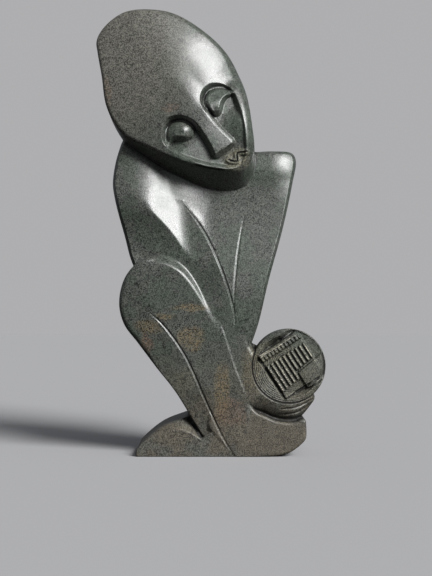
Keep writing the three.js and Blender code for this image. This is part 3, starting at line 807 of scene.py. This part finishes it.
tell(f"the gourd is {2 * GOURD_RADIUS} mm across and hollowed {HOLLOW} mm deep")

# %% [markdown]
# All forms together make the figure. Each joins the others with a small rounded inner corner.
# A form counts only near its own outline, which saves most of the work, and the underside is
# cut off flat, so that the figure stands.

# %% The whole figure
FORMS = [
    (torso, inside_torso, 1.2), (leg, inside_leg, 1.3), (base, inside_base, 2.5),
    (foot, inside_foot, 0.8), (hand, inside_hand, 1.0), (head, inside_head, 0.8),
]
FAR = 8.0
OUTLINE_TRIM, JAW_DROP = 4, 18
GOURD_CORNER, UNDERSIDE_EDGE = 0.4, 0.8


def figure(points):
    """The figure's number at each place: below zero in the stone, above zero in the air."""
    x, y, z = points.T
    depth = np.full(len(points), FAR)
    for form, chart, corner in FORMS:
        near = chart.covers(x, z, OUTLINE_TRIM, JAW_DROP if form is head else 0)
        depth[near] = together(depth[near], form(x[near], y[near], z[near]), corner)
    near = np.hypot(x - GOURD[0], z - GOURD[1]) < GOURD_RADIUS + FAR
    depth[near] = together(depth[near], gourd(x[near], y[near], z[near]), GOURD_CORNER)
    return overlap(depth, -z, UNDERSIDE_EDGE)


def slope_of(points, depth, tiny=0.02):
    steps = [(figure(points + np.eye(3)[axis] * tiny) - depth) / tiny for axis in range(3)]
    return np.stack(steps, 1)


tell(f"inside the chest the figure's number is {figure(np.array([[10.0, 10.0, 220.0]]))[0]:.1f}")

# %% [markdown]
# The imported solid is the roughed-out block. A copy of it is turned into an even net of small
# faces with a voxel remesh. Modelling the net by hand would give cleaner loops, but a carving
# has no parts to follow with loops, and an even net takes every form equally well.

# %% Rough out the block
VOXEL, FINE_VOXEL = 2.4 * MM, 2.2 * MM
rough = bmesh.new()
rough.from_mesh(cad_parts["kneeling_figure"].data)
bmesh.ops.remove_doubles(rough, verts=rough.verts, dist=0.01 * MM)
stone_mesh = bpy.data.meshes.new("carved_figure")
rough.to_mesh(stone_mesh)
rough.free()
carved = bpy.data.objects.new("carved_figure", stone_mesh)
bpy.context.scene.collection.objects.link(carved)


def apply(settings, kind):
    """Add a modifier, keep its result as the mesh, and take the modifier off again."""
    modifier = carved.modifiers.new(kind.lower(), kind)
    for name, value in settings.items():
        setattr(modifier, name, value)
    evaluated = carved.evaluated_get(bpy.context.evaluated_depsgraph_get())
    made = bpy.data.meshes.new_from_object(evaluated)
    carved.modifiers.clear()
    carved.data = made
    return made


apply({"mode": "VOXEL", "voxel_size": VOXEL}, "REMESH")
tell(f"roughed out with {len(carved.data.polygons)} faces")

# %% [markdown]
# Every vertex then walks down the slope of the figure's number until it stands on the surface,
# as a rasp takes a block down to the line. Between steps the vertices even out along the
# surface, so that the net doesn't bunch up in corners. A Shrinkwrap modifier does the same
# towards another mesh, but here there is no other mesh, only the number.


# %% Reading and writing a net
def places_of(mesh):
    flat = np.zeros(len(mesh.vertices) * 3)
    mesh.vertices.foreach_get("co", flat)
    return flat.reshape(-1, 3) / MM


def put_places(mesh, points):
    mesh.vertices.foreach_set("co", (points * MM).ravel())
    mesh.update()


def edges_of(mesh):
    flat = np.zeros(len(mesh.edges) * 2, int)
    mesh.edges.foreach_get("vertices", flat)
    return flat.reshape(-1, 2)


# %% Walk to the surface
FLATTEST = 0.25
NEAR_ENOUGH = 0.05


def evened(points, slope, edges):
    """Each point moves halfway to the middle of its neighbours, along the surface only."""
    ends, others = np.concatenate([edges, edges[:, ::-1]]).T
    count = np.bincount(ends, minlength=len(points))[:, None]
    sums = [np.bincount(ends, points[others, axis], len(points)) for axis in range(3)]
    pull = np.stack(sums, 1) / count - points
    along = slope / np.maximum(np.linalg.norm(slope, axis=1, keepdims=True), 1e-6)
    return points + 0.5 * (pull - along * (pull * along).sum(1, keepdims=True))


def carve(mesh, rounds, even_rounds, stride=1.5):
    points, edges = places_of(mesh), edges_of(mesh)
    for turn in range(rounds):
        depth = figure(points)
        slope = slope_of(points, depth)
        steep = np.maximum((slope**2).sum(1), FLATTEST)
        step = slope * (depth / steep)[:, None]
        length = np.linalg.norm(step, axis=1, keepdims=True)
        points = points - step * np.minimum(1, stride / np.maximum(length, 1e-9))
        if turn < even_rounds:
            points = evened(points, slope, edges)
    put_places(mesh, points)
    left = np.abs(figure(points))
    off = np.mean(left > NEAR_ENOUGH) * 100
    tell(f"{len(points)} vertices, {off:.2f}% more than {NEAR_ENOUGH} mm off")
    return points


carve(carved.data, 6, 3)
apply({"mode": "VOXEL", "voxel_size": FINE_VOXEL}, "REMESH")
carve(carved.data, 4, 2)

# %% [markdown]
# The net is fine enough for the broad forms, and too coarse where the stone turns within a
# millimetre or two. There the edges are split, and the new vertices walk to the surface too.
# A finer voxel everywhere would take ten times the faces to draw the same eyelids.

# %% Split the net where the stone turns
SPLITS = ((7, 1.3), (13, 0.75), (26, 0.5))
SMALL_STRIDE = 0.8


def normals_of(points, reach=0.15):
    sides = np.eye(3) * reach
    slope = np.stack([figure(points + side) - figure(points - side) for side in sides], 1)
    return slope / np.maximum(np.linalg.norm(slope, axis=1, keepdims=True), 1e-9)


def split(mesh, turn, shortest):
    """Halve each edge that turns by more than some degrees and is longer than the shortest."""
    points, edges = places_of(mesh), edges_of(mesh)
    normals = normals_of(points)
    agree = (normals[edges[:, 0]] * normals[edges[:, 1]]).sum(1)
    bend = np.degrees(np.arccos(np.clip(agree, -1, 1)))
    length = np.linalg.norm(points[edges[:, 0]] - points[edges[:, 1]], axis=1)
    chosen = np.flatnonzero((bend > turn) & (length > shortest))
    net = bmesh.new()
    net.from_mesh(mesh)
    net.edges.ensure_lookup_table()
    bmesh.ops.subdivide_edges(net, edges=[net.edges[i] for i in chosen], cuts=1, use_grid_fill=True)
    bmesh.ops.triangulate(net, faces=net.faces)
    net.to_mesh(mesh)
    net.free()
    tell(f"{len(chosen)} edges split")


for turn, shortest in SPLITS:
    split(carved.data, turn, shortest)
    carve(carved.data, 4, 2, SMALL_STRIDE)

# %% [markdown]
# A piece may have at most 200,000 triangles. Decimate takes the few too many out of the flat
# stretches, and one last walk puts the rest back on the surface. The shading follows the
# figure's own slope, because faces this small would otherwise print their pattern on the polish.

# %% Bring it under the limit
LIMIT = 198000
LAST_STRIDE = 0.6
triangles = sum(len(face.vertices) - 2 for face in carved.data.polygons)
tell(f"{triangles} triangles before thinning")
if triangles > LIMIT:
    apply({"ratio": LIMIT / triangles}, "DECIMATE")
points = np.clip(carve(carved.data, 4, 0, LAST_STRIDE), block_low, block_high)
put_places(carved.data, points)
normals = normals_of(points)
carved.data.polygons.foreach_set("use_smooth", [True] * len(carved.data.polygons))
carved.data.normals_split_custom_set_from_vertices(normals)
tell(f"{len(carved.data.polygons)} faces in the finished figure")

# %% [markdown]
# Sheltered crevices are painted darker, as painted shade, and polished duller. Edges that
# stand out are painted paler, as wear, and on the key board and the mouth as painted highlights.
# Both are measured on the form: how soon the stone comes back outside a place, and how soon it
# ends inside it. They are kept as attributes, which are quicker to read than ray-traced
# occlusion, and the export can bake them.

# %% How sheltered and how worn each place is
AIR_REACHES, STONE_REACHES = (1.2, 3, 7), (0.7, 1.6)


def keep(name, values):
    carved.data.attributes.new(name, "FLOAT", "POINT").data.foreach_set("value", values)
    tell(f"{name} from {values.min():.2f} to {values.max():.2f}, mean {values.mean():.2f}")


def share_of(reaches, side):
    """How much of the way out, or in with side -1, is still air, or stone, on the average."""
    ends = [side * figure(points + side * normals * reach) / reach for reach in reaches]
    return np.mean([np.clip(1 - end, 0, 1) for end in ends], axis=0)


keep("shelter", share_of(AIR_REACHES, 1))
keep("worn", share_of(STONE_REACHES, -1))

# %% [markdown]
# The finish is a recipe of many small sums: so much cloud, a stain here, a duller crevice
# there. Drawn as Math nodes by hand it would be a tangle. A small class wraps a socket, and
# Python's own signs add the Math nodes, so that the recipe reads like the sums that it is.


# %% Expressions for shader maths
class Wire:
    """A socket's value, which Python's own signs turn into Math nodes."""

    def __init__(self, recipe, socket):
        self.recipe, self.socket = recipe, socket

    def math(self, operation, other=None, reflected=False):
        pair = [self] if other is None else ([other, self] if reflected else [self, other])
        return self.recipe.node("ShaderNodeMath", {"operation": operation}, dict(enumerate(pair)))

    def __add__(self, other):
        return self.math("ADD", other)

    def __sub__(self, other):
        return self.math("SUBTRACT", other)

    def __rsub__(self, other):
        return self.math("SUBTRACT", other, True)

    def __mul__(self, other):
        return self.math("MULTIPLY", other)

    __radd__, __rmul__ = __add__, __mul__


# %% One method for every node
class Recipe:
    """The nodes of a material or of the world. One method adds every node."""

    def __init__(self, owner, shader, output):
        owner.use_nodes = True
        self.owner, self.tree = owner, owner.node_tree
        self.shader, self.output = self.tree.nodes[shader], self.tree.nodes[output]
        self.shade = Wire(self, self.shader.outputs[0])

    def node(self, kind, settings=None, sockets=None, output=0):
        made = self.tree.nodes.new(kind)
        for name, value in (settings or {}).items():
            setattr(made, name, value)
        for name, value in (sockets or {}).items():
            self.feed(made.inputs[name], value)
        return Wire(self, made.outputs[output])

    def feed(self, socket, value):
        if isinstance(value, Wire):
            self.tree.links.new(value.socket, socket)
        else:
            socket.default_value = value

    def give(self, **values):
        """Set or link the shader's own sockets, such as Base Color as Base_Color."""
        for name, value in values.items():
            self.feed(self.shader.inputs[name.replace("_", " ")], value)

    def finish(self, shade):
        self.feed(self.output.inputs["Surface"], shade)


def material_recipe(name):
    return Recipe(bpy.data.materials.new(name), "Principled BSDF", "Material Output")


# %% The stone's helpers
stone = material_recipe("polished_stone")
place = stone.node("ShaderNodeTexCoord", output="Object")


def vector(operation, a, b=(0, 0, 0), output=0):
    return stone.node("ShaderNodeVectorMath", {"operation": operation}, {0: a, 1: b}, output)


def noise(scale, detail=3, at=place, roughness=0.55):
    return stone.node("ShaderNodeTexNoise", {}, {
        "Vector": at, "Scale": scale, "Detail": detail, "Roughness": roughness})


def between(value, low, high):
    return stone.node("ShaderNodeMapRange", {"interpolation_type": "SMOOTHSTEP"}, {
        "Value": value, "From Min": low, "From Max": high})


def mix(share, a, b, how="MIX"):
    colours = {0: share, 6: a, 7: b}
    return stone.node("ShaderNodeMix", {"data_type": "RGBA", "blend_type": how}, colours, 2)


def kept(name):
    return stone.node("ShaderNodeAttribute", {"attribute_name": name}, output="Fac")


def axis_of_place(axis):
    return stone.node("ShaderNodeSeparateXYZ", {}, {0: place}, axis)


# %% [markdown]
# The stone is grey with a green cast, in slow clouds, and warmer towards the crown and the
# base. Real serpentine keeps this mottling right through the block, so it is a solid noise on
# Object coordinates and not a picture wrapped round the surface.

# %% The stone's own colour
GREY = (0.080, 0.085, 0.075, 1)
GREEN_GREY = (0.069, 0.083, 0.067, 1)
UMBER = (0.128, 0.122, 0.103, 1)
WARM_GREY = (0.108, 0.093, 0.071, 1)
WANDER_SCALE, CLOUD_SCALE, FINE_SCALE, GRAIN_SCALE = 45, 38, 900, 1500
GREEN_CLOUDS, WARM_CLOUDS = (0.4, 0.62), (0.3, 0.6)
CROWN_PATCH, CROWN_SHARE = (-88, 372, 62, 70, 0.5, 40), 0.85
LOW_UP, LOW_SHARE = (20 * MM, 120 * MM), 0.9
centred = (0.5, 0.5, 0.5)
wander = vector("SUBTRACT", stone.node("ShaderNodeTexNoise", {}, {
    "Vector": place, "Scale": WANDER_SCALE, "Detail": 4}, "Color"), centred)


def spot(x, z, wide, high, edge=0.35, ragged=14):
    """A patch with a ragged edge round one place on the figure, right through its depth."""
    moved = vector("ADD", place, vector("MULTIPLY", wander, (ragged * MM,) * 3))
    away = vector("MULTIPLY", vector("SUBTRACT", moved, (x * MM, 0, z * MM)),
                  (1 / (wide * MM), 0, 1 / (high * MM)))
    return 1 - between(vector("LENGTH", away, output="Value"), 1 - edge, 1 + edge)


cloud = noise(CLOUD_SCALE, 4)
fine = noise(FINE_SCALE, 3, roughness=0.8)
grain = noise(GRAIN_SCALE, 2)
crown = spot(*CROWN_PATCH)
low = 1 - between(axis_of_place("Z"), *LOW_UP)
colour = mix(between(cloud, *GREEN_CLOUDS), GREY, GREEN_GREY)
colour = mix(crown * CROWN_SHARE, colour, UMBER)
colour = mix(low * between(cloud, *WARM_CLOUDS) * LOW_SHARE, colour, WARM_GREY)
tell(f"{len(stone.tree.nodes)} nodes in the plain stone")

# %% [markdown]
# Rust-brown and ochre stains sit where iron in the stone has weathered: along the shin, above
# the foot, at the temple. Texture painting would place them freely. Each is a patch with
# a ragged edge at a place read off the real piece, broken up by a finer noise.

# %% Stains
OCHRE = (0.19, 0.14, 0.072, 1)
RUST = (0.17, 0.105, 0.07, 1)
OLIVE = (0.22, 0.205, 0.145, 1)
STAINS = [
    (-57, 120, 12, 6, OCHRE, 0.55), (-60, 105, 5, 9, RUST, 0.6), (-42, 131, 9, 3, OCHRE, 0.5),
    (-18, 138, 17, 3, OCHRE, 0.6), (-18, 110, 12, 10, OCHRE, 0.6), (-22, 73, 8, 11, OLIVE, 0.3),
    (10, 60, 7, 25, OCHRE, 0.6), (21, 42, 14, 12, RUST, 0.5), (60, 14, 34, 16, WARM_GREY, 0.8),
    (-98, 338, 5, 15, RUST, 0.35), (-38, 323, 8, 4, RUST, 0.4), (38, 80, 9, 22, OCHRE, 0.35),
    (24, 277, 12, 10, OLIVE, 0.75), (56, 97, 20, 9, OLIVE, 0.55), (72, 82, 30, 30, OLIVE, 0.25),
]
BREAK_SCALE, BREAK_CLOUDS, LEAST_STAIN = 420, (0.4, 0.6), 0.25
broken = between(noise(BREAK_SCALE, 4, roughness=0.75), *BREAK_CLOUDS)
for x, z, wide, high, tint, strength in STAINS:
    share = spot(x, z, wide, high) * (broken * (1 - LEAST_STAIN) + LEAST_STAIN) * strength
    colour = mix(share, colour, tint)
tell(f"{len(STAINS)} stains")

# %% [markdown]
# Edges that stand out are painted a little paler everywhere, as wear, and much paler on the key
# board and at the mouth, where they are painted highlights. Pale lines along each key's ridge and
# beside the lip are painted highlights too, in a chalky colour. The edges come from the measured
# wear. The ridges are drawn again in the board's own frame, because they are finer than the net
# between two keys.

# %% Pale edges and painted highlight lines
PALE = (0.36, 0.34, 0.26, 1)
HIGHLIGHT_PALE = (0.5, 0.47, 0.38, 1)
BOARD_PATCH, MOUTH_PATCH = (72, 82, 31, 31, 0.1, 4), (24, 277, 12, 10)
WORN, PAINTED_EDGE_HIGHLIGHT, CLEAN_EDGES = (0.2, 0.6), 0.8, 0.12
BESIDE_THE_RIDGE, KEYS_FADE_IN, KEYS_FADE_OUT = (0.6, 0.15), 14, (40, 41)
BESIDE_THE_PAD, SHORT_BY = 22.2, 8
LIP_LINE, LIP_LINE_EDGE, LIP_CLEAR = 1.25, 0.35, (0.6, 0.9)
BOARD_LEFT, BOARD_RIGHT, BOARD_FRONT = 1.2, (43, 43.8), (-36 * MM, -34 * MM)
HIGHLIGHT_PATCH_SCALE, HIGHLIGHT_PATCH_CLOUDS, LEAST_HIGHLIGHT, HIGHLIGHT_LINE_SHARE = 300, 0.8, 0.3, 0.85
edge = between(kept("worn"), *WORN)
board_and_mouth = spot(*BOARD_PATCH) + spot(*MOUTH_PATCH)
# painted highlights: the edges on the key board and at the mouth are painted much paler, the other
# edges a little paler, as wear
colour = mix(edge * (board_and_mouth * PAINTED_EDGE_HIGHLIGHT + CLEAN_EDGES), colour, PALE)

lean_x, lean_z = math.cos(BOARD_TILT), math.sin(BOARD_TILT)
corner_x, corner_z = BOARD_CORNER
across = vector("DOT_PRODUCT", place, (lean_x / MM, 0, lean_z / MM), "Value")
across = across - (corner_x * lean_x + corner_z * lean_z)
down = vector("DOT_PRODUCT", place, (lean_z / MM, 0, -lean_x / MM), "Value")
down = down - (corner_x * lean_z - corner_z * lean_x)

half_key = KEY_PITCH / 2
ridge = (across - KEYS_FROM).math("PINGPONG", half_key)
key_lines = between(ridge, *(half_key - width for width in BESIDE_THE_RIDGE))
key_lines = key_lines * between(down, KEYS_TOP, KEYS_FADE_IN)
shorter = between(across, BESIDE_THE_PAD, PAD_LEFT) * SHORT_BY
key_ends = 1 - between(down + shorter, *KEYS_FADE_OUT)
from_lip = (down - LIP).math("ABSOLUTE")
lip_lines = 1 - between(from_lip - LIP_LINE, 0.0, LIP_LINE_EDGE)
lip_lines = lip_lines * between(from_lip, *LIP_CLEAR)
on_the_board = between(across, KEYS_FROM, BOARD_LEFT) * (1 - between(across, *BOARD_RIGHT))
on_the_board = on_the_board * (1 - between(axis_of_place("Y"), *BOARD_FRONT))
patchy = noise(HIGHLIGHT_PATCH_SCALE, 2) * HIGHLIGHT_PATCH_CLOUDS + LEAST_HIGHLIGHT
# painted highlights: pale lines along each key's ridge and beside the lip, on the board's front
painted_highlight_lines = (key_lines * key_ends + lip_lines) * on_the_board * board_and_mouth * patchy
colour = mix(painted_highlight_lines * HIGHLIGHT_LINE_SHARE, colour, HIGHLIGHT_PALE)
tell(f"{len(stone.tree.nodes)} nodes with the stains and the dust")

# %% [markdown]
# Close up the polish shows fine dark and light crystals. They are a multiplied grey on top of
# every colour. The same grey darkens the sheltered crevices to about an eighth, as painted shade.

# %% Speckle and painted shade in crevices
SHELTERED, CREVICE_PAINTED_SHADE = (0.12, 0.6), 0.88
CRYSTALS, CRYSTAL_SHARE = (0.4, 0.6), 1.5
BLOTCH_SCALE, BLOTCHES, BLOTCH_SHARE = 260, (0.3, 0.7), 0.4
DARKEST = 0.05
crevice = between(kept("shelter"), *SHELTERED)
speckle = between(fine, *CRYSTALS) * CRYSTAL_SHARE
speckle = speckle + between(noise(BLOTCH_SCALE, 2), *BLOTCHES) * BLOTCH_SHARE + DARKEST
# painted shade: the grey darkens the sheltered crevices to about an eighth
speckle = speckle * (1 - crevice * CREVICE_PAINTED_SHADE)
grey_speckle_and_shade = stone.node("ShaderNodeCombineColor", {}, {0: speckle, 1: speckle, 2: speckle})
colour = mix(1, colour, grey_speckle_and_shade, "MULTIPLY")
tell(f"{len(stone.tree.nodes)} nodes with the speckle")

# %% [markdown]
# Hand polish is uneven: bright on the broad fronts, dull at the crown, low down, in crevices
# and where dust lies. Roughness carries that. A slight Bump gives the surface the faint waves
# and scratches that polishing leaves, and a thin Coat stands for the wax.

# %% The stone's polish
WAX = {"Coat_Weight": 0.12, "Coat_Roughness": 0.15}
ALONG_THE_RUBBING = (1400, 1400, 220)
BEST_POLISH, FINE_DULL = 0.2, 0.16
CROWN_DULL, LOW_DULL, DUST_DULL, CREVICE_DULL = 0.1, 0.2, 0.16, 0.25
DULL_CLOUDS, CLOUD_DULL = (0.35, 0.7), 0.06
WAVE_SCALE, WAVES, PITS, SCRATCHES, GRAINS = 55, 0.6, 0.22, 0.05, 0.08
BUMP = {"Strength": 0.5, "Distance": 1.2 * MM}
REFRACTION = 1.56
dull = crown * CROWN_DULL + low * LOW_DULL + board_and_mouth * DUST_DULL
dull = dull + between(cloud, *DULL_CLOUDS) * CLOUD_DULL + crevice * CREVICE_DULL
polish = BEST_POLISH + dull + fine * FINE_DULL
scratches = noise(1, 3, vector("MULTIPLY", place, ALONG_THE_RUBBING))
height = noise(WAVE_SCALE, 2) * WAVES + fine * PITS + scratches * SCRATCHES + grain * GRAINS
bump = stone.node("ShaderNodeBump", {}, {"Height": height, **BUMP})
stone.give(Base_Color=colour, Roughness=polish, Normal=bump, IOR=REFRACTION, **WAX)
tell(f"{len(stone.tree.nodes)} nodes in the stone")

# %% [markdown]
# The carved figure takes the place of the imported solid, which is hidden. It rides on the
# one body, and its finish fills its one material slot.

# %% Put the stone on the figure
carved.data.materials.clear()
carved.data.materials.append(stone.owner)
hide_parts("kneeling_figure")
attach(carved, "root")
tell(f"{carved.name} is in place")

# %% [markdown]
# The figure stands on plain pale paper. Bright paper would throw light up under the chin and
# the gourd, which are dark on the real piece, so the paper looks pale to the camera and dark
# to every other ray.

# %% Floor
FLOOR_HALF = 3
PAPER = (0.44, 0.44, 0.45, 1)
BLACK_CLOTH = (0.03, 0.03, 0.03, 1)
sheet = bmesh.new()
bmesh.ops.create_grid(sheet, x_segments=1, y_segments=1, size=FLOOR_HALF)
floor = bpy.data.objects.new("floor", bpy.data.meshes.new("floor"))
sheet.to_mesh(floor.data)
sheet.free()
bpy.context.scene.collection.objects.link(floor)

paper = material_recipe("floor_paper")
paper.give(Base_Color=PAPER, Roughness=0.9)
seen_directly = paper.node("ShaderNodeLightPath", output="Is Camera Ray")
black_cloth = paper.node("ShaderNodeBsdfDiffuse", {}, {"Color": BLACK_CLOTH})
both = {0: seen_directly, 1: black_cloth, 2: paper.shade}
paper.finish(paper.node("ShaderNodeMixShader", {}, both))
floor.data.materials.append(paper.owner)
tell(f"the floor is {2 * FLOOR_HALF} m wide")

# %% [markdown]
# Two light sources make the picture. The world is a dim grey room, shown paler to the camera
# as a backdrop. A large soft lamp stands high on the viewer's right, and its size sets how
# soft the highlights' ends are. A Sun lamp with a wide angle does this without a panel that
# could show in the polish.

# %% The room
BACKDROP = (0.425, 0.425, 0.435, 1)
ROOM = (0.15, 0.155, 0.165, 1)
air = Recipe(bpy.data.worlds.new("studio"), "Background", "World Output")
bpy.context.scene.world = air.owner
air.give(Color=BACKDROP)
dim = air.node("ShaderNodeBackground", {}, {"Color": ROOM})
rays = air.node("ShaderNodeLightPath", output="Is Camera Ray")
air.finish(air.node("ShaderNodeMixShader", {}, {0: rays, 1: dim, 2: air.shade}))
tell(f"{len(air.tree.nodes)} nodes in the room")

# %% The lamps
LAMP_AZIMUTH, LAMP_ELEVATION = 43, 35


def sun(name, strength, spread):
    light = bpy.data.objects.new(name, bpy.data.lights.new(name, "SUN"))
    light.data.energy = strength
    light.data.angle = math.radians(spread)
    turn, rise = math.radians(LAMP_AZIMUTH), math.radians(LAMP_ELEVATION)
    level = math.cos(rise)
    away = Vector((math.sin(turn) * level, -math.cos(turn) * level, math.sin(rise)))
    light.rotation_euler = away.to_track_quat("Z", "Y").to_euler()
    light.location = away
    bpy.context.scene.collection.objects.link(light)
    tell(f"{name} light, {spread} degrees wide")


sun("key", 4.0, 24)
sun("glow", 0.4, 60)

# %% [markdown]
# The camera looks straight at the front from 1.2 m, level with the lap, as a photographer
# with a small tripod would. The lens is long enough to keep the outline undistorted. The
# Standard view keeps the greys as they are set.

# %% Camera
CAMERA_PLACE = (0.0052, -1.2, 0.1565)
SENSOR, LENS = 36, 78.3
camera = bpy.data.objects.new("camera", bpy.data.cameras.new("camera"))
camera.data.sensor_fit = "VERTICAL"
camera.data.sensor_height = SENSOR
camera.data.lens = LENS
camera.location = CAMERA_PLACE
camera.rotation_euler = (math.radians(90), 0, 0)
bpy.context.scene.collection.objects.link(camera)
bpy.context.scene.camera = camera
bpy.context.scene.view_settings.view_transform = "Standard"
tell(f"the camera takes in {SENSOR / LENS * -CAMERA_PLACE[1] / MM:.0f} mm of height")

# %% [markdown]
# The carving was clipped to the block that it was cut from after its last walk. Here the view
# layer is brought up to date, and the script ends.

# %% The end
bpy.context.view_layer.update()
tell("done")
